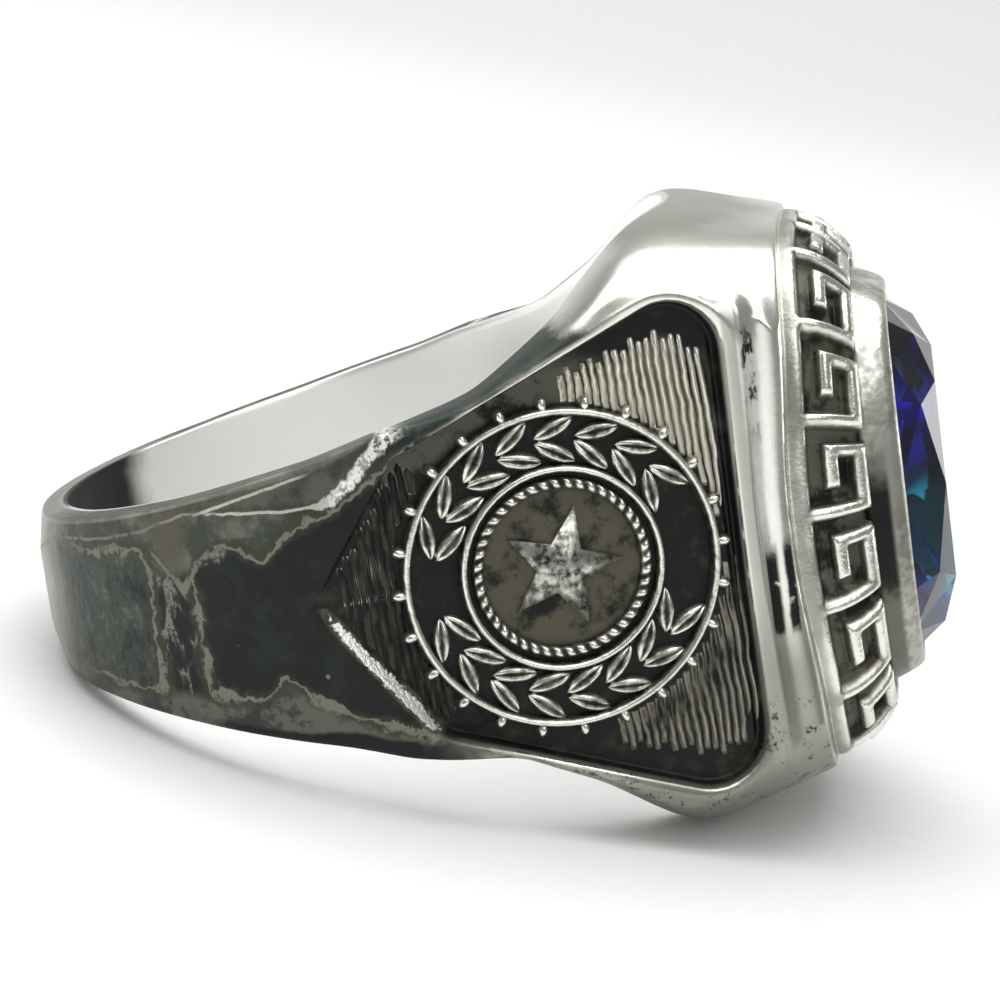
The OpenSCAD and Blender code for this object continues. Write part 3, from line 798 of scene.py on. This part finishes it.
def key_unit():
    """Flat unit: steps round the bezel in units, share of the slope, depth below the tops in mm."""
    # Round its middle the slope is 0.9 as long as at its foot
    cell_u, cell_v = foot_long * 0.9 / key_count / cells_u, (key_to - key_from) * slope_long / cells_v
    # Points stand close together where the wall of a cell falls from its top
    near = np.array([-0.15, -0.07, -0.025, 0.01, 0.06, 0.14])
    u = np.unique(np.concatenate([cell_u * k + near for k in range(cells_u + 1)]
                                 + [cell_u * (np.arange(cells_u) + 0.5)]))
    u = np.concatenate([[0], u[(u > 0.005) & (u < cell_u * cells_u - 0.005)], [cell_u * cells_u]])
    v = np.concatenate([cell_v * k + near for k in range(cells_v + 1)]
                       + [cell_v * (np.arange(cells_v) + 0.5)])
    v = np.unique(np.concatenate([[-0.16], v[v > -0.1], [cell_v * cells_v + 0.35]]))
    uu, vv = np.meshgrid(u, v)
    high, low = [], []
    for column in range(-1, cells_u + 1):
        for cell in range(-2, cells_v + 2):
            raised = cell < 0 or cell < cells_v and KEY[column % cells_u][cell]
            (high if raised else low).append((column * cell_u, cell * cell_v))

    def away(places):
        """Distance of each point of the unit from the nearest of these cells."""
        return np.min([np.hypot(np.maximum(abs(uu - x - cell_u / 2) - cell_u / 2, 0),
                                np.maximum(abs(vv - y - cell_v / 2) - cell_v / 2, 0))
                       for x, y in places], axis=0)

    inside = np.clip((away(low) - away(high) + 0.03) / 0.25, 0, 1)
    rise = (1 - (1 - inside) ** 2.6) ** (1 / 1.5)
    share = key_from + (key_to - key_from) * vv / (cell_v * cells_v)
    rows = np.stack([uu / (cell_u * cells_u), share, key_rise * (1 - rise)], -1)
    under = rows[[-1, 0]]
    under[:, :, 2] = key_deep
    rows = np.concatenate([rows, under])
    high, wide = rows.shape[:2]
    faces = []
    for i in range(high):
        row, following = i * wide, (i + 1) % high * wide
        faces += [(row + j, row + j + 1, following + j + 1, following + j) for j in range(wide - 1)]
    mesh = new_mesh("key_unit", rows.reshape(-1, 3).tolist(), faces)
    note(mesh, "relief", np.concatenate([rise.ravel(), np.zeros(2 * wide)]))
    return mesh


def wrap_key(wiring, given):
    """Sets the units in a row and bends the strip round the bezel and over its dome."""
    line = wiring.node("GeometryNodeMeshLine", {}, {"Count": given["Units"], "Offset": (1, 0, 0)})
    units = wiring.node("GeometryNodeInstanceOnPoints", {}, {"Points": line, "Instance": given["Geometry"]})
    strip = wiring.node("GeometryNodeRealizeInstances", {}, {"Geometry": units})
    strip = wiring.node("GeometryNodeMergeByDistance", {}, {"Geometry": strip, "Distance": 0.001})
    share, v, depth = wiring.node("GeometryNodeInputPosition", {}, {}).parts()
    outline = wiring.node("GeometryNodeObjectInfo", {}, {"Object": given["Outline"]}, "Geometry")
    around = wiring.node("GeometryNodeSampleCurve", {"mode": "FACTOR", "data_type": "FLOAT_VECTOR"},
                         {"Curves": outline, "Factor": share / float(key_count)}, "Position")
    along_y, along_z, _ = around.parts()
    turn = v * slope_turn
    sine, cosine = wiring.maths("SINE", turn), wiring.maths("COSINE", turn)
    rest = (1 - cosine) / (1 - math.cos(slope_turn))
    half_y = foot_y - rest * (foot_y - collar_y) - depth * cosine
    half_z = foot_z - rest * (foot_z - collar_z) - depth * cosine
    bowed = abs(along_z * half_z / foot_z).fade(*front_bow_span) * front_bow_deep * (1 - v)
    x = sine * (slope_rise / math.sin(slope_turn)) + head_x - depth * sine + bowed
    bent = wiring.vector(along_y * half_y / foot_y, along_z * half_z / foot_z, x)
    return wiring.node("GeometryNodeSetPosition", {}, {"Geometry": strip, "Position": bent})


def border_paint(wiring):
    """Bare tops, worn where they are flat, over films of grime on the ground between them."""
    place = ring_place(wiring)[1]
    relief, edge = wiring.attribute("relief"), wiring.attribute("edge")
    cloud, grain, speck = place.noise(1.6, 4), place.noise(0.4, 5), place.noise(0.1, 3)
    top = (relief + (grain - 0.5) * 0.4).fade(0.4, 0.8)
    shown = brown_film.cover((grain * 0.5 + cloud * 0.5).fade(0.42, 0.6), olive_film)
    shown = shown.cover((cloud * 0.6 + grain * 0.4).fade(0.44, 0.54) * 0.8, faded_film)
    shown = shown.cover(relief.fade(0.3, 0.05) * cloud.fade(0.5, 0.38), black_shade_and_crust)
    shown = shown.cover(top, worn_silver)
    shown = shown.cover(top * (edge + (cloud - 0.5) * 2).fade(0.1, 1.2), bare_silver)
    return shown, grain * 0.03 + speck * 0.008


border = grow("key_border", key_unit(), wrap_key,
              {"Units": key_count, "Outline": path("bezel_outline", foot_outline.tolist()),
               "Finish": finish("silver_border", border_paint)})
merge(border.data, 0.004)
lay(border.data, bezel_frame)
note_edges(border.data)
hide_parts("band")
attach(border, "root")

# The collar is the thin upright wall of silver round the stone. It is cast with the head, and its
# rounded lip is rubbed over the stone's edge to hold it. Here its profile is swept round the cushion
# outline of the stone.

# Half width and half height of the stone's girdle
girdle_y, girdle_z = 4.75, 5.7
# The profile, from this far inside the girdle, as distance outwards and height from the lip
lip_inset = 0.3
COLLAR = [(1.22, -1.25), (1.14, -0.95), (1.0, -0.6), (0.87, -0.32), (0.76, -0.14), (0.64, -0.03), (0.52, 0),
          (0.41, -0.03), (0.33, -0.12), (0.3, -0.25), (0.3, -1.25)]


def sweep(wiring, given):
    """Sweeps the profile along the outline."""
    outline = wiring.node("GeometryNodeObjectInfo", {}, {"Object": given["Outline"]}, "Geometry")
    profile = wiring.node("GeometryNodeObjectInfo", {}, {"Object": given["Profile"]}, "Geometry")
    return wiring.node("GeometryNodeCurveToMesh", {}, {"Curve": outline, "Profile Curve": profile})


def collar_paint(wiring):
    """Bare above and painted darker below as shade, with dull and black silver in the groove at its foot."""
    (x, _, z), place = ring_place(wiring)
    cloud, grain = place.noise(1.8, 4), place.noise(0.3, 4)
    shown = worn_silver.cover((cloud * 0.7 + grain * 0.3).fade(0.4, 0.55), bare_silver)
    # Painted shade: the lower part of the collar is darker
    shown = shown.cover((z + (cloud - 0.5) * 1.5).fade(3, 1) * 0.9, worn_silver)
    shown = shown.cover((z + (cloud - 0.5) * 1.5).fade(1, -1) * grain.fade(0.4, 0.6) * 0.5, dull_silver)
    groove = x.fade(lip_x - 0.4, lip_x - 0.6) * (z + (cloud - 0.5) * 2).fade(2.0, 0.5)
    shown = shown.cover(groove, dull_silver)
    shown = shown.cover(groove * (z + (grain - 0.5)).fade(-3.2, -2.4), black_shade_and_crust)
    return shown, grain * 0.02


inner_outline = cushion(girdle_y - lip_inset, girdle_z - lip_inset, 240)[0]
collar = grow("collar", new_mesh("collar", []), sweep,
              {"Outline": path("collar_outline", inner_outline.tolist()),
               "Profile": path("collar_profile", [(-across, -height) for across, height in COLLAR]),
               "Finish": finish("silver_collar", collar_paint)})
lay(collar.data, lambda points: bezel_frame(points) + [lip_x, 0, 0])
note_edges(collar.data)
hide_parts("band")
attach(collar, "root")

# The seat is the silver under the stone, with a hollow cut into it for the stone's pointed back. The
# hollow narrows in two slopes like the stone, and clears it all round.

# Where the stone's girdle, the break of its slope and its point lie along x
girdle_x, culet_x = lip_x - 0.35, head_x + 0.75
break_x = (girdle_x + culet_x) / 2 + 0.1
# Distance along x, share of the girdle's outline, from the back round the outside and down the hollow
SEAT = [(head_x - 0.05, 0.02), (head_x - 0.05, 1.06), (lip_x - 0.3, 1.06), (lip_x - 0.3, 1),
        (girdle_x - 0.2, 1), (break_x - 0.1, 0.68), (culet_x - 0.1, 0.12)]


def tube(name, loops, closed):
    """Mesh through loops of points, joined end to end when closed, and capped when not."""
    loops = np.asarray(loops, float)
    count, size = loops.shape[:2]
    faces = []
    for i in range(count if closed else count - 1):
        row, following = i * size, (i + 1) % count * size
        faces += [(row + j, following + j, following + (j + 1) % size, row + (j + 1) % size)
                  for j in range(size)]
    if not closed:
        faces += [tuple(range(size)), tuple(range((count - 1) * size, count * size))]
    return new_mesh(name, loops.reshape(-1, 3).tolist(), faces)


def seat_paint(wiring):
    """Black, because no light and no polish reaches it."""
    place = ring_place(wiring)[1]
    grain = place.noise(0.5, 4)
    return black_shade_and_crust.cover(grain.fade(0.5, 0.7), teal_crust), grain * 0.02


girdle = cushion(girdle_y, girdle_z, 96)[0]
seat_loops = [np.column_stack([np.full(len(girdle), x), girdle * share]) for x, share in SEAT]
seat = link(tube("seat", seat_loops, False), "seat")
seat.data.materials.append(finish("silver_seat", seat_paint))
lay(seat.data, lambda points: points)
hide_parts("band")
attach(seat, "root")

# The medallion on each flank is raised relief on the shield's floor, cast with the head: a row of
# beads round an outer hoop, two branches of laurel, an inner hoop, a rope and a star. Here each
# part is shaped lying flat and then set on the floor of the shield.

# The medallion's middle along the floor, and its radius
medallion_at, medallion_r = 7.65, 4.95
# Middle radius, half width, height and twist of each hoop
HOOPS = {"hoop_outer": (4.74, 0.15, 0.4, 0),
         "hoop_inner": (3.02, 0.13, 0.38, 0),
         "rope": (2.58, 0.18, 0.3, 44)}
# Radius of the star's points and of the notches between them, and its height
star_outer, star_inner, star_high = 1.95, 0.8, 0.34
# Length, width and height of a leaf and of a bead, how slim its ends are and how deep its vein
LEAF = (1.42, 0.6, 0.36, 0.75, 0.45)
BEAD = (0.52, 0.4, 0.38, 0.5, 0)
# Pairs of leaves on each branch, degrees from the foot to the first pair, between pairs and leaned out
leaf_pairs, leaf_start, leaf_turn, leaf_lean = 8, 22, 18, 26
# Radius of the branches' middle line, and how far each row of leaves stands off it
branch_r, branch_spread = 3.87, 0.38
# Number of beads, and the radius of their row
bead_count, beads_r = 24, 4.98


def floor_frame(points, side):
    """From along a shield's floor, up and outwards to the ring's own axes; the far side is mirrored."""
    x = floor_start[0] + points[:, 0] * math.cos(floor_slant) + points[:, 2] * math.sin(floor_slant)
    y = floor_start[1] - points[:, 0] * math.sin(floor_slant) + points[:, 2] * math.cos(floor_slant)
    return np.column_stack([x, side * y, points[:, 1]])


def hoop(name, middle_r, half_wide, high, twist):
    """Half-round hoop about the medallion's middle; with a twist it is cut like a rope."""
    loops = []
    for a in np.linspace(0, 2 * math.pi, 289 if twist else 145)[:-1]:
        loop = []
        for b in np.linspace(0, math.pi, 11):
            cut = 1 - 0.28 * abs(math.sin(twist * a / 2 + b * 0.6)) ** 3 if twist else 1
            loop.append((middle_r + half_wide * math.cos(b), high * cut * math.sin(b) ** 0.7))
        loop += [(middle_r - half_wide, -0.2), (middle_r + half_wide, -0.2)]
        loops.append([(r * math.cos(a), r * math.sin(a), z) for r, z in loop])
    return tube(name, loops, True)


def dome(name, long, wide, high, power, vein):
    """Leaf or bead lying along x, with its outline, its rise and the vein cut along its middle."""
    loops = []
    for t in (1 - np.cos(np.linspace(0.12, math.pi - 0.12, 15))) / 2:
        half = wide / 2 * (4 * t * (1 - t)) ** power
        x, ridge = long * (t - 0.5), high * (half * 2 / wide) ** 0.6
        top = [(x, half * w, ridge * (1 - w * w) ** 0.5 * (1 - vein * (1 - abs(w)) ** 4))
               for w in np.linspace(-1, 1, 9)]
        loops.append([(x, -half, -0.15), *top, (x, half, -0.15)])
    return tube(name, loops, False)


def star(name):
    """Five-pointed star with a ridge along each point."""
    points = [(0, 0, star_high)]
    foot = []
    for k in range(10):
        r, rise = (star_outer, 0.45) if k % 2 == 0 else (star_inner, 0.3)
        x, y = r * math.cos(k * math.pi / 5), r * math.sin(k * math.pi / 5)
        points.append((x * 0.97, y * 0.97, star_high * rise))
        foot.append((x, y, -0.1))
    faces = [(0, 1 + k, 1 + (k + 1) % 10) for k in range(10)]
    faces += [(1 + k, 11 + k, 11 + (k + 1) % 10, 1 + (k + 1) % 10) for k in range(10)]
    return new_mesh(name, points + foot, faces + [tuple(range(11, 21))])


def repeat(wiring, given):
    """Sets a copy of the part on every point, turned as the point says."""
    turn = wiring.node("GeometryNodeInputNamedAttribute", {"data_type": "FLOAT"}, {"Name": "turn"})
    part = wiring.node("GeometryNodeObjectInfo", {}, {"Object": given["Part"]}, "Geometry")
    return wiring.node("GeometryNodeInstanceOnPoints", {}, {
        "Points": given["Geometry"], "Instance": part, "Rotation": wiring.vector(0.0, 0.0, turn)})


def scattered(name, places, turns):
    """Points for the copies of a part, each with its turn."""
    mesh = new_mesh(name, [(*place, 0) for place in places])
    note(mesh, "turn", turns)
    return mesh


def laurel():
    """Places and turns of the leaves of two branches that rise from the foot of the medallion."""
    places, turns = [], []
    for side in (-1, 1):
        for pair in range(leaf_pairs):
            for row in (-1, 1):
                a = math.pi + side * math.radians(leaf_start + pair * leaf_turn)
                r = branch_r + row * branch_spread
                places.append((r * math.cos(a), r * math.sin(a)))
                turns.append(a + side * math.radians(90 - row * leaf_lean))
    return places, turns


def dress(piece, flank_side):
    """Sets a part of the medallion on a flank and hands it over."""
    merge(piece.data, 0.002)
    lay(piece.data, lambda points: floor_frame(points + [medallion_at, 0, 0], flank_side))
    note_edges(piece.data)
    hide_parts("band")
    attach(piece, "root")


def medallion_paint(wiring):
    """Bright where an edge is worn, most of all on the star, and black in the hollows."""
    (x, _, z), place = ring_place(wiring)
    edge, grain, cloud = wiring.attribute("edge"), place.noise(0.3, 4), place.noise(1.5, 3)
    shown = black_shade_and_crust.cover(grain.fade(0.4, 0.6), brown_film)
    middle = distance(x - medallion_x, z).fade(2.2, 2.0)
    edge = edge + middle * 0.3
    shown = shown.cover((edge + (grain - 0.5) * 3 + (cloud - 0.5) * 3).fade(0.1, 1.2), dull_silver)
    worn = (edge + (grain - 0.5) * 3).fade(0.8, 2.4) + middle * grain.fade(0.35, 0.6) * 0.35
    shown = shown.cover(worn, bare_silver)
    return shown, grain * 0.02


medallion_silver = finish("silver_medallion", medallion_paint)
bead_turns = [2 * math.pi * k / bead_count for k in range(bead_count)]
bead_places = [(beads_r * math.cos(a), beads_r * math.sin(a)) for a in bead_turns]
for side, flank in ((-1, "near"), (1, "far")):
    shapes = {name: hoop(f"{name}_{flank}", *sizes) for name, sizes in HOOPS.items()}
    shapes["star"] = star(f"star_{flank}")
    for name, shape in shapes.items():
        piece = link(shape, f"{name}_{flank}")
        piece.data.materials.append(medallion_silver)
        dress(piece, side)
    for name, part, points in (("laurel", dome("leaf", *LEAF), scattered("laurel", *laurel())),
                               ("beads", dome("bead", *BEAD), scattered("beads", bead_places, bead_turns))):
        dress(grow(f"{name}_{flank}", points, repeat,
                   {"Part": link(part, part.name), "Finish": medallion_silver}), side)

# The field round the medallion is filled with close upright ribs of cast silver, worn bright on top
# and clogged near the medallion. They stop short of the shield's edge and lean a little.

# Distance from rib to rib, width and height of a rib, and its lean
rib_step, rib_wide, rib_high, rib_lean = 0.25, 0.225, 0.16, math.tan(math.radians(2.5))
# Section of a rib as shares of its width and height
RIB = [(-0.5, -0.4), (-0.4, 0.3), (-0.16, 0.86), (0, 1), (0.16, 0.86), (0.4, 0.3), (0.5, -0.4)]


def rib_starts():
    """Points where the ribs start, over the medallion, with the length that each has."""
    along = np.arange(0.6, panel_end - 0.15, rib_step)
    low = np.sqrt(np.maximum((medallion_r + 0.05) ** 2 - (along - medallion_at) ** 2, 0))
    room = shield_edge(along) - 0.5 - 0.45 * smooth(7, 11.5, along) - low
    long = room - 0.15 * np.sin(along * 9.1)
    along, low, long = (values[room > 0.8] for values in (along, low, long))
    mesh = new_mesh("ribs", [(x, sign * y, 0) for sign in (1, -1) for x, y in zip(along, low)])
    note(mesh, "long", np.concatenate([long, -long]))
    return mesh


def rib():
    """One rib of length 1, a little narrower at its upper end, which slopes down like its foot."""
    loops = []
    for t in np.linspace(0, 1, 26):
        wide = rib_wide * (0.7 + 0.3 * smooth(1, 0.93, t))
        high = rib_high * (0.08 + 0.92 * smooth(1, 0.84, t)) * smooth(-0.02, 0.06, t)
        loops.append([(x * wide, t, z * high) for x, z in RIB])
    return tube("rib", loops, False)


def stand_ribs(wiring, given):
    """Sets a rib of its own length on every point, then wears and bends them all unevenly."""
    long = wiring.node("GeometryNodeInputNamedAttribute", {"data_type": "FLOAT"}, {"Name": "long"})
    part = wiring.node("GeometryNodeObjectInfo", {}, {"Object": given["Part"]}, "Geometry")
    ribs = wiring.node("GeometryNodeInstanceOnPoints", {}, {
        "Points": given["Geometry"], "Instance": part, "Scale": wiring.vector(1.0, long, 1.0)})
    ribs = wiring.node("GeometryNodeRealizeInstances", {}, {"Geometry": ribs})
    x, y, z = wiring.node("GeometryNodeInputPosition", {}, {}).parts()
    flat = wiring.vector(x, y, given["Seed"])
    wave, chip = flat.noise(1.1, 2.0), flat.noise(0.3, 2.0)
    away = distance(x - medallion_at, y)
    clear = away.fade(medallion_r + 0.1, medallion_r + 1.5) * x.fade(1.5, 4.5) * 0.8 + 0.2
    moved = wiring.vector((wave - 0.5) * 0.22 + (chip - 0.5) * 0.06 - y * rib_lean, 0.0,
                          z * (clear * (chip * 0.8 + 0.6) - 1))
    return wiring.node("GeometryNodeSetPosition", {}, {"Geometry": ribs, "Offset": moved})


warm_silver = Coat((0.6, 0.58, 0.47, 1), 0.85, 0.42)


def rib_paint(wiring):
    """Warm worn tops over a ground of tan and olive film, blacker towards the foot and the tip."""
    (x, _, z), place = ring_place(wiring)
    edge, cloud = wiring.attribute("edge"), place.noise(1.6, 3)
    grain = place.stretched(0.3).noise(0.25, 4)
    away = distance(x - medallion_x, z)
    clear = (away + (cloud - 0.5) * 2).fade(5.3, 6.7) * x.fade(4, 6.5)
    upper = z.fade(-2.5, 1)
    ground = olive_film.cover(upper * clear, tan_film)
    shown = black_shade_and_crust.cover(grain.fade(0.45, 0.6) * (x.fade(3.5, 6) * 0.6 + 0.4), ground)
    shown = shown.cover(clear * upper * (cloud * 0.5 + grain * 0.5).fade(0.3, 0.48), warm_silver)
    edge = edge + clear * 1.4 - 1.1 - x.fade(4.2, 2.6) * 4 + upper * 1.6 - 1.2
    worn = (edge + (grain - 0.5) * 3 + (cloud - 0.5) * 4).fade(-0.8, 1.2)
    shown = shown.cover(worn * (upper * 0.65 + 0.35), warm_silver)
    shown = shown.cover((edge + (grain - 0.5) * 3).fade(1.4, 3.6) * (upper * 0.4 + 0.2), bare_silver)
    return shown, grain * 0.02


rib_silver = finish("silver_ribs", rib_paint)
for side, flank in ((-1, "near"), (1, "far")):
    ribs = grow(f"ribs_{flank}", rib_starts(), stand_ribs,
                {"Part": link(rib(), "rib"), "Finish": rib_silver, "Seed": 3.0})
    lay(ribs.data, lambda points: floor_frame(points, side))
    note_edges(ribs.data)
    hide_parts("band")
    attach(ribs, "root")

# The stone is one blue synthetic gem, cut as a cushion with a flat table and steep facets down to
# its girdle, where the collar holds it. The CAD piece itself is shown, in dark blue glass with
# bands of royal blue and teal across it, which are painted flashes of light.
stone = frame["nodes"]["stone"]
glass, wiring = new_wiring("blue_stone")
(x, _, z), place = ring_place(wiring)
depth = place.noise(2.2, 2.0)
waved = z + (depth - 0.5) * 2.5
tone = wiring.mix(depth.fade(0.5, 0.36), (0.0009, 0.0012, 0.009, 1), (0.002, 0.008, 0.02, 1), "RGBA")
# Painted light: the royal blue and teal bands stand for flashes and reflections inside the stone
for share, colour in ((waved.fade(0.4, -0.8), (0.003, 0.08, 0.12, 1)),
                      (abs(waved - 2.3).fade(1.4, 0.7), (0.012, 0.006, 0.42, 1)),
                      (abs(waved + 2.6).fade(1.7, 0.8) * (x + (depth - 0.5) * 2).fade(17.6, 17.0),
                       (0.006, 0.03, 0.62, 1))):
    tone = wiring.mix(share, tone, colour, "RGBA")
wiring.show(wiring.node("ShaderNodeBsdfPrincipled", {}, {
    "Base Color": tone, "Roughness": 0.05, "IOR": 1.73, "Transmission Weight": 1.0,
    "Specular IOR Level": 0.2}))
stone.data.materials.clear()
stone.data.materials.append(glass)

# The studio is a plain pale one: a sheet of white paper that rises behind the ring in a wide curve,
# four soft lamps, and a camera that sees the ring as the photo does.

# Middle of the picture in the ring's own millimetres, and the camera's turn, height and lean
aim = np.array([3.8, 0, 0.39])
turn, rise, roll = math.radians(8.5), math.radians(11), math.radians(7.9)
# The camera's distance and focal length in mm
camera_far, focal = 101, 110.16
behind = np.array([math.sin(turn) * math.cos(rise), -math.cos(turn) * math.cos(rise), math.sin(rise)])
right = np.array([math.cos(turn), math.sin(turn), 0])
above = np.cross(behind, right)
across = math.cos(roll) * right - math.sin(roll) * above
upward = math.sin(roll) * right + math.cos(roll) * above
view = np.eye(4)
view[:3, :3] = LYING @ np.column_stack([across, upward, behind])
view[:3, 3] = LYING @ (aim + behind * camera_far) * MM + ring_middle
camera_data = bpy.data.cameras.new("camera")
camera_data.lens, camera_data.sensor_width, camera_data.clip_start = focal, 36, 0.005
camera = link(camera_data, "camera")
camera.matrix_world = Matrix(view.tolist())
bpy.context.scene.camera = camera


def light(name, place, target, wide, high, power):
    """White lamp with a flat face of this width and height, turned from its place to its target."""
    lamp = bpy.data.lights.new(name, "AREA")
    lamp.shape, lamp.size, lamp.size_y, lamp.energy = "RECTANGLE", wide, high, power
    held = link(lamp, name)
    held.location = place
    held.rotation_euler = (Vector(target) - Vector(place)).to_track_quat("-Z", "Y").to_euler()


def sheet():
    """Sheet of paper under the ring, with its back rising in a curve."""
    curve = [(0.25 + 0.2 * math.sin(a), 0.2 - 0.2 * math.cos(a)) for a in np.linspace(0, math.pi / 2, 13)]
    profile = [(-0.35, 0), *curve, (0.45, 0.6)]
    faces = [(2 * i, 2 * i + 1, 2 * i + 3, 2 * i + 2) for i in range(len(profile) - 1)]
    mesh = new_mesh("floor", [(x, y, z) for y, z in profile for x in (-1.5, 1.5)], faces)
    mesh.shade_smooth()
    return mesh


floor = link(sheet(), "floor")
paper, wiring = new_wiring("paper")
fibre = (wiring.node("ShaderNodeTexCoord", {}, {}, "Object") * 1000.0).noise(0.7)
tone = wiring.mix(fibre, (0.86, 0.86, 0.86, 1), (0.9, 0.9, 0.9, 1), "RGBA")
wiring.show(wiring.node("ShaderNodeBsdfPrincipled", {}, {"Base Color": tone, "Roughness": 0.8}))
floor.data.materials.append(paper)
light("overhead", (-0.07, 0.03, 0.3), (-0.07, 0.0301, 0), 0.44, 0.42, 1.45)
light("front", (0.14, -0.23, 0.23), (0, 0, 0.01), 0.24, 0.2, 0.22)
light("left", (-0.3, -0.03, 0.12), (0, 0, 0.01), 0.2, 0.2, 0.15)
light("right", (0.27, 0.2, 0.06), (0, 0, 0.01), 0.2, 0.1, 0.17)
world = bpy.data.worlds.new("studio")
bpy.context.scene.world = world
world.use_nodes = True
world.node_tree.nodes["Background"].inputs[0].default_value = (0.24, 0.24, 0.24, 1)
bpy.context.scene.view_settings.view_transform = "Standard"
